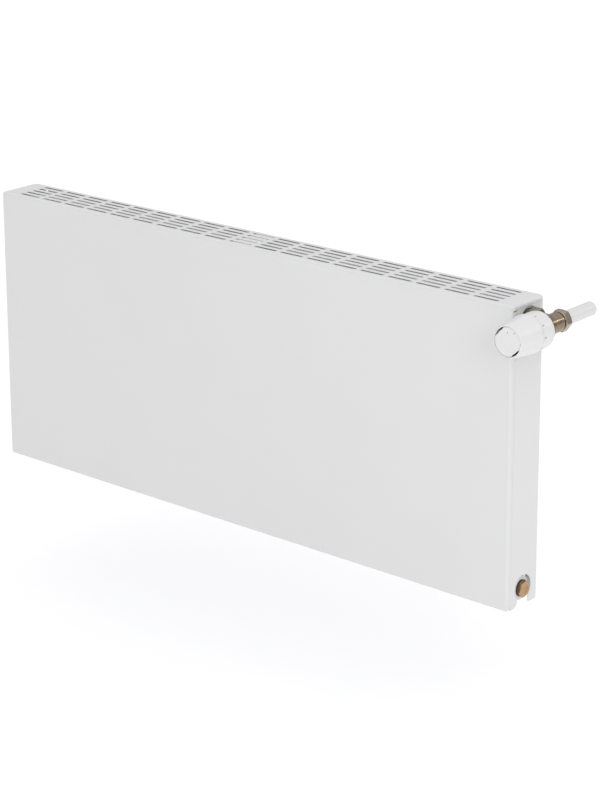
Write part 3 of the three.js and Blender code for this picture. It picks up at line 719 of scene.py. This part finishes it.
def pressed(x, z, low, high):
    """How far the sheet is pressed out at x, z, from 0 on the lands to 1 on the crowns."""
    border = min(x - low.x, high.x - x, z - low.z, high.z - z)
    edge = ramp(border, PANEL_RIM * 0.4, PANEL_RIM * 2)
    from_end = min(z - low.z, high.z - z)
    header = 1 - ramp(from_end, *HEADER)
    offset = abs((x / CHANNEL_PITCH + 0.5) % 1 - 0.5) * CHANNEL_PITCH
    inside = abs(x) < (CHANNELS / 2) * CHANNEL_PITCH
    channel = 1 - ramp(offset, *CHANNEL_SLOPE) if inside else 0
    return edge * max(header, channel * 0.96)


def panel_rows(low, high):
    """Fine steps over the headers and coarse ones between them."""
    fine = [low + step * MM for step in (0, 1.5, 3, 4.5, 6, 10, 22, 24, 25.5, 27, 28.5, 30, 34)]
    coarse = [low + (high - low) * share for share in (0.25, 0.4, 0.6, 0.75)]
    return fine + coarse + [low + high - value for value in reversed(fine)]


def rear_water_panel():
    """Hollow pressed panel seen from outside: both faces rise and fall together."""
    low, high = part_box("rear_water_panel")
    centre_y = (low.y + high.y) / 2
    half = (high.y - low.y) / 2
    xs = [low.x + (high.x - low.x) * i / PANEL_COLUMNS for i in range(PANEL_COLUMNS + 1)]
    zs = panel_rows(low.z, high.z)
    last_x, last_z = len(xs) - 1, len(zs) - 1
    bm = bmesh.new()
    grid = {}
    for side in (-1, 1):
        for i, x in enumerate(xs):
            for j, z in enumerate(zs):
                y = centre_y + side * (PANEL_LAND + (half - PANEL_LAND) * pressed(x, z, low, high))
                grid[side, i, j] = bm.verts.new((x, y, z))
    for side in (-1, 1):
        for i in range(last_x):
            for j in range(last_z):
                ring = [(i, j), (i + 1, j), (i + 1, j + 1), (i, j + 1)]
                bm.faces.new([grid[side, a, b] for a, b in ring])
    border = [(i, 0) for i in range(last_x)] + [(last_x, j) for j in range(last_z)]
    border += [(i, last_z) for i in range(last_x, 0, -1)] + [(0, j) for j in range(last_z, 0, -1)]
    for one, two in zip(border, border[1:] + border[:1]):
        bm.faces.new([grid[-1, *one], grid[-1, *two], grid[1, *two], grid[1, *one]])
    pressing = link("rear_water_panel_pressing", bm)
    give(pressing, PANEL, "panel_paint", "radiator", "rear_water_panel", sharp=60)


def tee(node, side):
    """Forged tee: a cross tube between the panels with the port's boss standing out of it."""
    low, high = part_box(node)
    z = (low.z + high.z) / 2
    boss_radius = (high.z - low.z) / 2
    tube_x = low.x + TEE_RADIUS if side > 0 else high.x - TEE_RADIUS
    face = high.x if side > 0 else low.x
    tube = lathe(node + "_forging", cylinder(TEE_RADIUS, low.y, high.y), "Y", tube_x, z, TOOL_ROUND)
    shoulder = face - side * BOSS_LENGTH
    outside = [
        (0, tube_x, 0),
        (TEE_RADIUS, tube_x, 0),
        (TEE_RADIUS, shoulder - side * MM, 0.6 * MM),
        (boss_radius, shoulder, 0.6 * MM),
        (boss_radius, face, 0.9 * MM),
        (0, face, 0),
    ]
    combine(tube, lathe("boss", outside, "X", PORT_Y, z), "UNION")
    mouth = [
        (0, face + side * MM, 0),
        (PORT_BORE + 1.4 * MM, face + side * MM, 0),
        (PORT_BORE, face - side * MM, 0),
        (PORT_BORE, face - side * PORT_DEPTH, 0),
        (0, face - side * PORT_DEPTH, 0),
    ]
    drill(tube, mouth, "X", PORT_Y, z)
    drill(tube, cylinder(WATERWAY, low.y - MM, high.y + MM), "Y", tube_x, z)
    give(tube, PANEL, "panel_paint", "radiator", node)


def hanging_lug(node):
    """Hat-shaped strip with rounded bends and corners."""
    low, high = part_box(node)
    foot_y = low.y + LUG_SHEET
    left, right = low.x + LUG_FOOT, high.x - LUG_FOOT
    hat = [
        (low.x, foot_y, 0),
        (left, foot_y, LUG_BEND),
        (left, high.y, LUG_BEND),
        (right, high.y, LUG_BEND),
        (right, foot_y, LUG_BEND),
        (high.x, foot_y, 0),
    ]
    path = rounded(hat, 5)
    length = path_length(path)
    bottom, top = low.z + LUG_CORNER, high.z - LUG_CORNER
    outline = [(0, bottom), (LUG_CORNER, low.z), (length - LUG_CORNER, low.z), (length, bottom)]
    outline += [(length, top), (length - LUG_CORNER, high.z), (LUG_CORNER, high.z), (0, top)]
    lug = bend(node + "_strip", outline, path, LUG_SHEET)
    soften(lug, 0.25 * MM, 2, 60)
    give(lug, PANEL, "panel_paint", "radiator", node)


# ---------- plugs and fittings ----------


def ring_seal(node, z):
    """O-ring with a round section, on a plug's thread at height z."""
    low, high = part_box(node)
    centre_x = (low.x + high.x) / 2
    reach = (high.x - low.x) / 2
    radius = THREAD_RADIUS + MM - reach
    steps = 12
    corners = []
    for i in range(steps + 1):
        angle = 2 * math.pi * i / steps
        corners.append((radius + reach * math.cos(angle), centre_x + reach * math.sin(angle), 0))
    ring = lathe(node + "_ring", corners, "X", PORT_Y, z, TOOL_ROUND)
    give(ring, RUBBER, "seal_rubber", "radiator", node)


def plug(node, side, z, bore):
    """Hexagon-headed plug: turned thread behind, chamfered head with a shallow dished face.

    bore is the radius of the hole through it, or 0 for none.
    """
    low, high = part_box(node)
    outer, inner = (high.x, low.x) if side > 0 else (low.x, high.x)
    seat = outer - side * PLUG_HEAD
    start, end = min(seat, outer), max(seat, outer)
    head = hexagon(node + "_turned", PLUG_FLATS, start, end, "X", PORT_Y, z, 1.0, 15)
    stem = [
        (0, inner, 0),
        (THREAD_RADIUS - MM, inner, 0),
        (THREAD_RADIUS, inner + side * MM, 0),
        (THREAD_RADIUS, seat + side * MM, 0),
        (0, seat + side * MM, 0),
    ]
    combine(head, lathe("stem", stem, "X", PORT_Y, z, TOOL_ROUND), "UNION")
    dish = [
        (0, outer - side * 0.7 * MM, 0),
        (6.2 * MM, outer - side * 0.5 * MM, 0),
        (7.4 * MM, outer + side * MM, 0),
        (0, outer + side * MM, 0),
    ]
    drill(head, dish, "X", PORT_Y, z)
    if bore:
        drill(head, cylinder(bore, inner - side * MM, outer + side * MM), "X", PORT_Y, z)
    soften(head, 0.25 * MM, 2, 30)
    give(head, BRASS_X, "brass", "radiator", node, sharp=30)


def vent_screw():
    """Square-headed bleed screw with a pointed stem."""
    low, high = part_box("vent_screw")
    half = (high.z - low.z) / 2 / math.sqrt(2)
    head_low = (low.x, PORT_Y - half, PORT_HIGH_Z - half)
    head_high = (low.x + VENT_HEAD, PORT_Y + half, PORT_HIGH_Z + half)
    head = soften(link("vent_screw_turned", block(head_low, head_high)), 0.5 * MM, 3)
    start = low.x + VENT_HEAD / 2
    stem = [
        (0, start, 0),
        (VENT_STEM, start, 0),
        (VENT_STEM, high.x - MM, 0),
        (MM, high.x, 0),
        (0, high.x, 0),
    ]
    combine(head, lathe("stem", stem, "X", PORT_Y, PORT_HIGH_Z, 32), "UNION")
    give(head, BRASS_X, "brass", "vent_screw", "vent_screw")


def tailpiece():
    """Threaded tube between the radiator's port and the union nut, with a collar at each end."""
    low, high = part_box("tailpiece")
    flange, groove, collar = 12.4 * MM, 9 * MM, 11 * MM
    flange_start, flange_end = PORT_FACE + GAP, PORT_FACE + 3.2 * MM
    collar_start = PORT_FACE + 8 * MM
    corners = [
        (TAIL_BORE, low.x, 0),
        (THREAD_RADIUS - 0.4 * MM, low.x, 0),
        (THREAD_RADIUS, low.x + 0.6 * MM, 0),
        (THREAD_RADIUS, flange_start, 0),
        (flange, flange_start, 0.4 * MM),
        (flange, flange_end, 0.6 * MM),
        (groove, flange_end, 0.2 * MM),
        (groove, collar_start, 0),
        (collar, collar_start, 0.3 * MM),
        (collar, high.x, 0.5 * MM),
        (TAIL_BORE, high.x, 0),
        (TAIL_BORE, low.x, 0),
    ]
    tail = lathe("tailpiece_turned", corners, "X", PORT_Y, VALVE_Z)
    give(tail, NICKEL_X, "nickel_plate", "radiator", "tailpiece")


def union_nut():
    """Nut with a wide bore over the valve's thread and a narrow one over the tailpiece."""
    low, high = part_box("union_nut")
    tail_bore, thread_bore = 9.3 * MM, 12.3 * MM
    step = PORT_FACE + 7.7 * MM
    nut = hexagon("union_nut_turned", UNION_FLATS, low.x, high.x, "X", PORT_Y, VALVE_Z, 1.6)
    bore = [
        (0, low.x - MM, 0),
        (tail_bore, low.x - MM, 0),
        (tail_bore, step, 0),
        (thread_bore, step, 0),
        (thread_bore, high.x + MM, 0),
        (0, high.x + MM, 0),
    ]
    drill(nut, bore, "X", PORT_Y, VALVE_Z)
    soften(nut, 0.35 * MM, 3, 30)
    give(nut, NICKEL_X, "nickel_plate", "radiator", "union_nut", sharp=30)


def compression_nut():
    """Chamfered nut that squeezes the olive on the pipe."""
    low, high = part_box("compression_nut")
    shoulder = high.y - 1.3 * MM
    thread_bore = HUB_THREAD + GAP
    nut = hexagon("compression_nut_turned", NUT_FLATS, low.y, high.y, "Y", VALVE_X, VALVE_Z, 1.7, NUT_TURNED)
    bore = [
        (0, low.y - MM, 0),
        (thread_bore, low.y - MM, 0),
        (thread_bore, shoulder, 0),
        (PIPE_RADIUS + GAP, shoulder, 0),
        (PIPE_RADIUS + GAP, high.y + MM, 0),
        (0, high.y + MM, 0),
    ]
    drill(nut, bore, "Y", VALVE_X, VALVE_Z)
    soften(nut, 0.35 * MM, 3, 30)
    give(nut, NUT_METAL, "brass", "radiator", "compression_nut", sharp=30)


def valve_body():
    """Forged angle body: a hub along Y with the union thread standing out of its side."""
    low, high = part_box("valve_body")
    clamp_seat, union_thread, neck_radius = 11.2 * MM, 12 * MM, 10.5 * MM
    insert_bore, seat_bore = 9 * MM, 5.5 * MM
    clamp_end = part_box("clamp_ring")[1].y + GAP
    step = PORT_Y + 9.5 * MM
    barrel = [
        (0, low.y, 0),
        (clamp_seat, low.y, 0.6 * MM),
        (clamp_seat, clamp_end, 0),
        (HUB_RADIUS, clamp_end, 0.6 * MM),
        (HUB_RADIUS, step - 1.2 * MM, 1.4 * MM),
        (HUB_THREAD + 0.8 * MM, step, 0.3 * MM),
        (HUB_THREAD - 0.6 * MM, step, 0.2 * MM),
        (HUB_THREAD - 0.6 * MM, step + 1.2 * MM, 0.2 * MM),
        (HUB_THREAD, step + 1.8 * MM, 0),
        (HUB_THREAD, high.y, 0.4 * MM),
        (0, high.y, 0),
    ]
    body = lathe("valve_body_forging", barrel, "Y", VALVE_X, VALVE_Z)
    neck = [
        (0, low.x, 0),
        (union_thread - 0.4 * MM, low.x, 0),
        (union_thread, low.x + 0.6 * MM, 0),
        (union_thread, low.x + 4 * MM, 0.4 * MM),
        (neck_radius, low.x + 4.6 * MM, 0.6 * MM),
        (neck_radius, VALVE_X, 0),
        (0, VALVE_X, 0),
    ]
    combine(body, lathe("neck", neck, "X", PORT_Y, VALVE_Z), "UNION")
    drill(body, cylinder(insert_bore, low.y - MM, PORT_Y + 7 * MM), "Y", VALVE_X, VALVE_Z)
    drill(body, cylinder(seat_bore, PORT_Y + 6 * MM, step + MM), "Y", VALVE_X, VALVE_Z)
    drill(body, cylinder(PIPE_RADIUS + GAP, step, high.y + MM), "Y", VALVE_X, VALVE_Z)
    drill(body, cylinder(TAIL_BORE, low.x - MM, VALVE_X), "X", PORT_Y, VALVE_Z)
    give(body, BRONZE, "nickel_plate", "radiator", "valve_body")


def clamp_ring():
    """Near-black ring that holds the head on the valve's neck; its dark colour is partly the ring's own and
    partly painted shade for the gap behind the head.
    """
    low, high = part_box("clamp_ring")
    outer = (high.x - low.x) / 2
    bore = 11.5 * MM
    corners = [
        (bore, low.y, 0),
        (outer, low.y, 0.4 * MM),
        (outer, high.y, 0.9 * MM),
        (bore, high.y, 0.4 * MM),
        (bore, low.y, 0),
    ]
    ring = lathe("clamp_ring_moulding", corners, "Y", VALVE_X, VALVE_Z)
    give(ring, CLAMP_DARK_AND_SHADE, "clamp_plastic", "radiator", "clamp_ring")


def supply_pipe():
    """Cut end of the pipe from the wall."""
    low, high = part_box("supply_pipe")
    inner = PIPE_RADIUS - PIPE_WALL
    corners = [
        (inner, low.y, 0),
        (PIPE_RADIUS, low.y, 0),
        (PIPE_RADIUS, high.y, 0.5 * MM),
        (inner, high.y, 0.3 * MM),
        (inner, high.y - 2 * MM, 0),
        (inner, low.y, 0),
    ]
    pipe = lathe("supply_pipe_tube", corners, "Y", VALVE_X, VALVE_Z)
    give(pipe, PIPE, "pipe_coating", "radiator", "supply_pipe")


# ---------- thermostatic head ----------


def handwheel():
    """Tapered grip with shallow flutes, a groove behind it, and the scale ring behind that."""
    low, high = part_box("handwheel")
    rear = (high.x - low.x) / 2
    hole = CAP_RADIUS + GAP
    grip_start, grip_end = low.y + 2.2 * MM, low.y + GRIP_LENGTH
    groove_end = grip_end + GROOVE_WIDTH
    corners = [
        (hole, low.y + 0.8 * MM, 0),
        (hole + 0.4 * MM, low.y + 0.1 * MM, 0.3 * MM),
        (WHEEL_FRONT - 1.4 * MM, low.y, 0.8 * MM),
        (WHEEL_FRONT, grip_start, 1.6 * MM),
    ]
    for i in range(1, GRIP_STEPS):
        share = i / GRIP_STEPS
        bulge = GRIP_BULGE * math.sin(math.pi * share)
        radius = WHEEL_FRONT + (rear - WHEEL_FRONT) * share + bulge * (1 - share)
        corners.append((radius, grip_start + (grip_end - grip_start) * share, 0))
    corners += [
        (rear - 0.05 * MM, grip_end, 0.9 * MM),
        (GROOVE_RADIUS, grip_end, 0.25 * MM),
        (GROOVE_RADIUS, groove_end, 0.25 * MM),
        (SCALE_RADII[0], groove_end, 0.4 * MM),
        (SCALE_RADII[1], high.y, 0.5 * MM),
        (rear - 2 * WHEEL_WALL, high.y, 0),
        (rear - 2 * WHEEL_WALL, grip_end - 8 * MM, 0),
        (hole, low.y + 6 * MM, 0),
        (hole, low.y + 0.8 * MM, 0),
    ]

    def flute(radius, distance, angle):
        """Shallow flutes that fade out towards both ends of the grip."""
        outline = WHEEL_FRONT + (rear - WHEEL_FRONT) * (distance - grip_start) / (grip_end - grip_start)
        if radius < outline - 0.7 * MM or not grip_start < distance < grip_end:
            return radius
        from_front = ramp(distance, grip_start + MM, grip_start + 14 * MM)
        to_back = 1 - ramp(distance, grip_end - 8 * MM, grip_end - MM)
        return radius - FLUTE_DEPTH * from_front * to_back * (0.5 - 0.5 * math.cos(FLUTES * angle))

    wheel = lathe("handwheel_shell", corners, "Y", VALVE_X, VALVE_Z, WHEEL_ROUND, flute)
    give(wheel, HEAD, "head_plastic", "handwheel", "handwheel", sharp=40)


def front_mark(name, angle, radius, size, face):
    """Small raised bar on the head's front, size[0] round the axis by size[1] along the radius."""
    half = Vector((size[1], 0.16 * MM, size[0])) / 2
    bm = block(-half, half)
    bmesh.ops.rotate(bm, matrix=Matrix.Rotation(-math.radians(angle), 3, "Y"), verts=bm.verts)
    turn = math.radians(angle)
    place = (VALVE_X + radius * math.cos(turn), face, VALVE_Z + radius * math.sin(turn))
    bmesh.ops.translate(bm, vec=place, verts=bm.verts)
    give(link(name, bm), INK, "head_plastic", "handwheel", sharp=30)


def front_cap():
    """Cap in the handwheel's front, with two finger notches in its edge."""
    low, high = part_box("front_cap")
    radius = CAP_RADIUS

    def notch(reach, _distance, angle):
        """Two finger notches in the cap's edge."""
        if reach < radius * 0.85:
            return reach
        turn = math.degrees(angle)
        for centre, width in CAP_NOTCHES:
            away = abs((turn - centre + 180) % 360 - 180)
            if away < width / 2:
                depth = math.cos(math.pi * away / width)
                return reach - CAP_NOTCH * min(1, depth * 1.4)
        return reach

    corners = [
        (0, low.y, 0),
        (radius * 0.5, low.y + 0.02 * MM, 0),
        (radius, low.y + 0.1 * MM, 0.6 * MM),
        (radius, high.y, 0),
        (0, high.y, 0),
    ]
    cap = lathe("front_cap_disc", corners, "Y", VALVE_X, VALVE_Z, CAP_ROUND, notch)
    give(cap, HEAD, "head_plastic", "handwheel", "front_cap", sharp=40)
    wheel_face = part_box("handwheel")[0].y
    bar, dot = (0.8 * MM, 1.8 * MM), (0.8 * MM, 0.8 * MM)
    front_mark("cap_mark_middle", 90, 11.5 * MM, bar, low.y + 0.06 * MM)
    front_mark("cap_mark_side", 52, 15.6 * MM, bar, low.y + 0.1 * MM)
    front_mark("rim_mark", 0, 19.3 * MM, dot, wheel_face + 0.08 * MM)


def head_base():
    """Fixed ring behind the handwheel, and the sleeve that clamps on the valve."""
    low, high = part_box("head_base")
    outer = (high.x - low.x) / 2
    ring_start = high.y - BASE_RING
    floor_end = low.y + 3 * MM
    pin_bore, clamp_bore, sleeve = 3.3 * MM, 12.5 * MM, 16.5 * MM
    corners = [
        (pin_bore, low.y, 0),
        (sleeve, low.y, 0.5 * MM),
        (sleeve, ring_start, 0),
        (outer - 0.4 * MM, ring_start, 0.3 * MM),
        (outer, ring_start + 1.2 * MM, 0.5 * MM),
        (outer - 0.6 * MM, high.y - 1.4 * MM, 0.8 * MM),
        (outer - 2.6 * MM, high.y, 0.6 * MM),
        (clamp_bore, high.y, 0.5 * MM),
        (clamp_bore, floor_end, 0),
        (pin_bore, floor_end, 0),
        (pin_bore, low.y, 0),
    ]
    ring = lathe("head_base_ring", corners, "Y", VALVE_X, VALVE_Z)
    give(ring, HEAD, "head_plastic", "radiator", "head_base")


def wrap(mesh, angle, distance, radius):
    """Lays a flat mark round the head's axis: its x runs round, its y runs back, its z stands out."""
    for vert in mesh.vertices:
        x, y, z = vert.co
        turn = angle - x / radius
        reach = radius + z
        vert.co = (VALVE_X + reach * math.cos(turn), distance + y, VALVE_Z + reach * math.sin(turn))


def numeral(text, angle, distance):
    """One raised digit of the setting scale, on the handwheel."""
    curve = bpy.data.curves.new("scale_" + text, "FONT")
    curve.body = text
    curve.size = NUMERAL_SIZE
    curve.align_x = "CENTER"
    curve.align_y = "CENTER"
    curve.extrude = SCALE_INK
    curve.offset = 0.1 * MM
    curve.resolution_u = 3
    source = bpy.data.objects.new("scale_source", curve)
    bpy.context.scene.collection.objects.link(source)
    mesh = bpy.data.meshes.new_from_object(source.evaluated_get(bpy.context.evaluated_depsgraph_get()))
    bpy.data.objects.remove(source)
    bm = bmesh.new()
    bm.from_mesh(mesh)
    bmesh.ops.remove_doubles(bm, verts=bm.verts, dist=1e-6)
    bm.to_mesh(mesh)
    bm.free()
    wrap(mesh, math.radians(angle), distance, SCALE_RADII[0] - SCALE_INK)
    obj = bpy.data.objects.new(f"scale_mark_{angle % 360}", mesh)
    bpy.context.scene.collection.objects.link(obj)
    give(obj, INK, "head_plastic", "handwheel", sharp=30)


def index_line():
    """Fixed raised bar on the head base that the scale turns past."""
    low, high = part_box("head_base")
    radius = (high.x - low.x) / 2 - 0.4 * MM
    half = Vector((1.6 * MM, 2.8 * MM, 2 * SCALE_INK)) / 2
    obj = link("index_line", block(-half, half))
    wrap(obj.data, math.radians(SCALE_INDEX), high.y - 2.4 * MM, radius)
    give(obj, INK, "head_plastic", "radiator", sharp=30)


def scale():
    """Generic settings round the scale ring, and the index line."""
    ring_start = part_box("handwheel")[0].y + GRIP_LENGTH + GROOVE_WIDTH
    for i, text in enumerate(("0", "1", "2", "3", "4", "5")):
        numeral(text, SCALE_FIRST - i * SCALE_STEP, ring_start + 3.4 * MM)
    index_line()


# ---------- everything in its place ----------


def build():
    """Shapes every piece, and gives the CAD nodes that stay their materials."""
    front_plate()
    side_cover(1)
    side_cover(-1)
    top_grille()
    grille_support()
    rear_water_panel()
    keep("front_water_panel", INSIDE_PRIMER_AND_SHADE)
    keep("convector_fins", INSIDE_PRIMER_AND_SHADE)
    for level in ("bottom", "top"):
        tee(f"tee_{level}_right", 1)
        tee(f"tee_{level}_left", -1)
    for level in ("lower", "upper"):
        for side in ("left", "right"):
            hanging_lug(f"hanging_lug_{level}_{side}")
    ring_seal("blank_plug_seal", PORT_LOW_Z)
    ring_seal("vent_plug_seal", PORT_HIGH_Z)
    plug("blank_plug", 1, PORT_LOW_Z, 0)
    plug("vent_plug", -1, PORT_HIGH_Z, VENT_BORE)
    vent_screw()
    tailpiece()
    union_nut()
    compression_nut()
    valve_body()
    supply_pipe()
    clamp_ring()
    handwheel()
    front_cap()
    head_base()
    scale()
    for node in ("olive", "gland_nut", "valve_cone"):
        keep(node, BRASS_Y)
    for node in ("valve_pin", "valve_spring", "overtravel_spring", "sensor_capsule"):
        keep(node, STEEL)
    keep("valve_insert", NICKEL_Y)
    keep("cone_seal", RUBBER)
    keep("push_pin", HEAD)


# ---------- studio ----------


def floor():
    """Plain pale floor below the hung radiator."""
    bm = bmesh.new()
    bmesh.ops.create_grid(bm, x_segments=1, y_segments=1, size=FLOOR_REACH)
    bmesh.ops.translate(bm, vec=(0, 0, FLOOR_Z), verts=bm.verts)
    ground = link("studio_floor", bm)
    material, principled, _ = shader("studio_white", (0.9, 0.9, 0.9), 0.9)
    principled.inputs["Emission Color"].default_value = (1, 1, 1, 1)
    principled.inputs["Emission Strength"].default_value = FLOOR_GLOW
    ground.data.materials.append(material)


def sky():
    """Soft surround, lighter overhead than at the horizon."""
    world = bpy.data.worlds.new("studio")
    bpy.context.scene.world = world
    world.use_nodes = True
    nodes, links = world.node_tree.nodes, world.node_tree.links
    background = nodes["Background"]
    coords = nodes.new("ShaderNodeTexCoord")
    split = nodes.new("ShaderNodeSeparateXYZ")
    fade = nodes.new("ShaderNodeValToRGB")
    for element, (position, colour) in zip(fade.color_ramp.elements, (SKY_LOW, SKY_HIGH)):
        element.position = position
        element.color = colour
    links.new(coords.outputs["Generated"], split.inputs[0])
    links.new(split.outputs["Z"], fade.inputs["Fac"])
    links.new(fade.outputs["Color"], background.inputs["Color"])
    background.inputs["Strength"].default_value = SKY_STRENGTH


def soft_light(name, place, target, size, power):
    """Square area light at place, turned to target."""
    lamp = bpy.data.lights.new(name, "AREA")
    lamp.shape = "SQUARE"
    lamp.size = size
    lamp.energy = power
    obj = bpy.data.objects.new(name, lamp)
    bpy.context.scene.collection.objects.link(obj)
    obj.location = place
    obj.rotation_mode = "QUATERNION"
    obj.rotation_quaternion = (Vector(target) - Vector(place)).to_track_quat("-Z", "Y")


def camera():
    """Looks at the radiator from its front right and from above."""
    data = bpy.data.cameras.new("camera")
    data.sensor_width = 36
    data.lens = CAMERA_LENS
    data.shift_y = CAMERA_SHIFT
    obj = bpy.data.objects.new("camera", data)
    bpy.context.scene.collection.objects.link(obj)
    yaw = Matrix.Rotation(math.radians(CAMERA_YAW), 4, "Z")
    pitch = Matrix.Rotation(math.radians(90 - CAMERA_PITCH), 4, "X")
    roll = Matrix.Rotation(math.radians(CAMERA_ROLL), 4, "Z")
    obj.matrix_world = Matrix.Translation(CAMERA_PLACE) @ yaw @ pitch @ roll
    bpy.context.scene.camera = obj


camera()
build()
floor()
sky()
for light in LIGHTS:
    soft_light(*light)
bpy.context.scene.view_settings.view_transform = "Standard"
